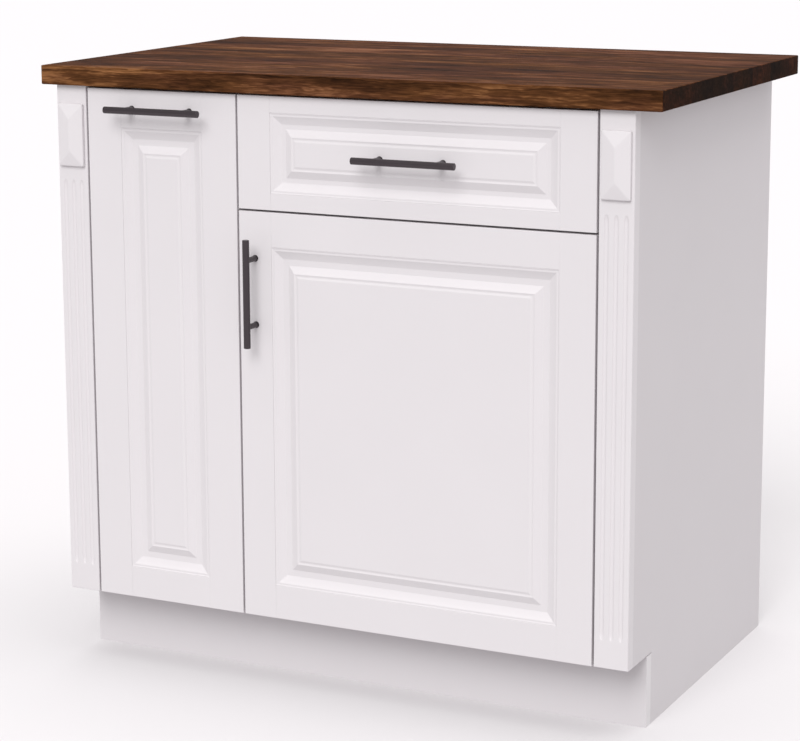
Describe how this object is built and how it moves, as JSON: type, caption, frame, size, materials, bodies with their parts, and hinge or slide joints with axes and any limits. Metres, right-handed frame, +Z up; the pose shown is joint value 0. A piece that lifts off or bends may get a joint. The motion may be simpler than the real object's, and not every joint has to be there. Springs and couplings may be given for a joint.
{
  "type": "kitchen base cabinet",
  "caption": "Freestanding kitchen base cabinet with a solid-wood worktop, a drawer above a hinged raised-panel door, a narrow pull-out beside them and fluted pilasters.",
  "frame": {"origin": "below the middle of the whole cabinet's box, on the floor", "axes": "+X to the right seen from the front, +Y from the fronts to the back, +Z up"},
  "size_m": [0.96, 0.612, 0.898],
  "materials": {
    "white_foil": "white satin foil on wood-fibre fronts and pilasters",
    "white_board": "white melamine-faced chipboard",
    "stained_wood": "dark brown oiled solid-wood staves",
    "bare_wood": "bare beech",
    "anthracite_metal": "satin anthracite coat",
    "zinc_steel": "zinc-plated sheet steel",
    "nickel": "nickel-plated",
    "grey_paint": "grey powder coat",
    "grey_plastic": "moulded, matte",
    "clear_rubber": "soft translucent pad"
  },
  "bodies": {
    "cabinet": {"worktop": "stained_wood", "worktop_screws": "zinc_steel", "left_side_panel": "white_board", "right_side_panel": "white_board", "left_lining_panel": "white_board", "right_lining_panel": "white_board", "centre_partition": "white_board", "bottom_panel": "white_board", "front_top_rail": "white_board", "back_top_rail": "white_board", "back_panel": "white_board", "plinth_board": "white_board", "shelf": "white_board", "shelf_pins": "nickel", "carcass_dowels": "bare_wood", "left_pilaster": "white_foil", "right_pilaster": "white_foil", "left_capital_block": "white_foil", "right_capital_block": "white_foil", "hinge_arms": "nickel", "hinge_plates": "nickel", "drawer_cabinet_rails": "zinc_steel", "pullout_cabinet_rails": "zinc_steel"},
    "drawer_middle": {"drawer_middle_rails": "zinc_steel", "drawer_ball_cages": "grey_plastic"},
    "pullout_middle": {"pullout_middle_rails": "zinc_steel", "pullout_ball_cages": "grey_plastic"},
    "drawer": {"drawer_inner_rails": "zinc_steel", "drawer_front_stiles": "white_foil", "drawer_front_rails": "white_foil", "drawer_front_panel": "white_foil", "drawer_front_screws": "zinc_steel", "drawer_left_side": "white_board", "drawer_right_side": "white_board", "drawer_inner_front": "white_board", "drawer_back": "white_board", "drawer_bottom": "white_board", "drawer_handle_bar": "anthracite_metal", "drawer_handle_posts": "anthracite_metal", "drawer_handle_screws": "zinc_steel"},
    "pullout": {"pullout_inner_rails": "zinc_steel", "pullout_front_stiles": "white_foil", "pullout_front_rails": "white_foil", "pullout_front_panel": "white_foil", "pullout_front_screws": "zinc_steel", "pullout_frame": "grey_paint", "pullout_lower_basket": "grey_paint", "pullout_upper_basket": "grey_paint", "pullout_handle_bar": "anthracite_metal", "pullout_handle_posts": "anthracite_metal", "pullout_handle_screws": "zinc_steel"},
    "hinge_link": {"hinge_links": "nickel"},
    "door": {"door_stiles": "white_foil", "door_rails": "white_foil", "door_panel": "white_foil", "door_bumpers": "clear_rubber", "hinge_cups": "nickel", "door_handle_bar": "anthracite_metal", "door_handle_posts": "anthracite_metal", "door_handle_screws": "zinc_steel"}
  },
  "joints": [
    {"name": "drawer_slide", "type": "slide", "parent": "cabinet", "child": "drawer", "axis": [0, -1, 0], "range_m": [0, 0.43]},
    {"name": "drawer_middle_slide", "type": "slide", "parent": "cabinet", "child": "drawer_middle", "axis": [0, -1, 0], "range_m": [0, 0.215]},
    {"name": "pullout_slide", "type": "slide", "parent": "cabinet", "child": "pullout", "axis": [0, -1, 0], "range_m": [0, 0.43]},
    {"name": "pullout_middle_slide", "type": "slide", "parent": "cabinet", "child": "pullout_middle", "axis": [0, -1, 0], "range_m": [0, 0.215]},
    {"name": "hinge_link_turn", "type": "hinge", "parent": "cabinet", "child": "hinge_link", "pos_m": [0.351, -0.246, 0.394], "axis": [0, 0, 1], "range_deg": [-20, 0]},
    {"name": "door_turn", "type": "hinge", "parent": "hinge_link", "child": "door", "pos_m": [0.376, -0.2625, 0.394], "axis": [0, 0, 1], "range_deg": [0, 120]}
  ],
  "couplings": [
    {"joint": "drawer_middle_slide", "follows": "drawer_slide", "ratio": 0.5},
    {"joint": "pullout_middle_slide", "follows": "pullout_slide", "ratio": 0.5},
    {"joint": "hinge_link_turn", "follows": "door_turn", "ratio": -0.16667}
  ]
}
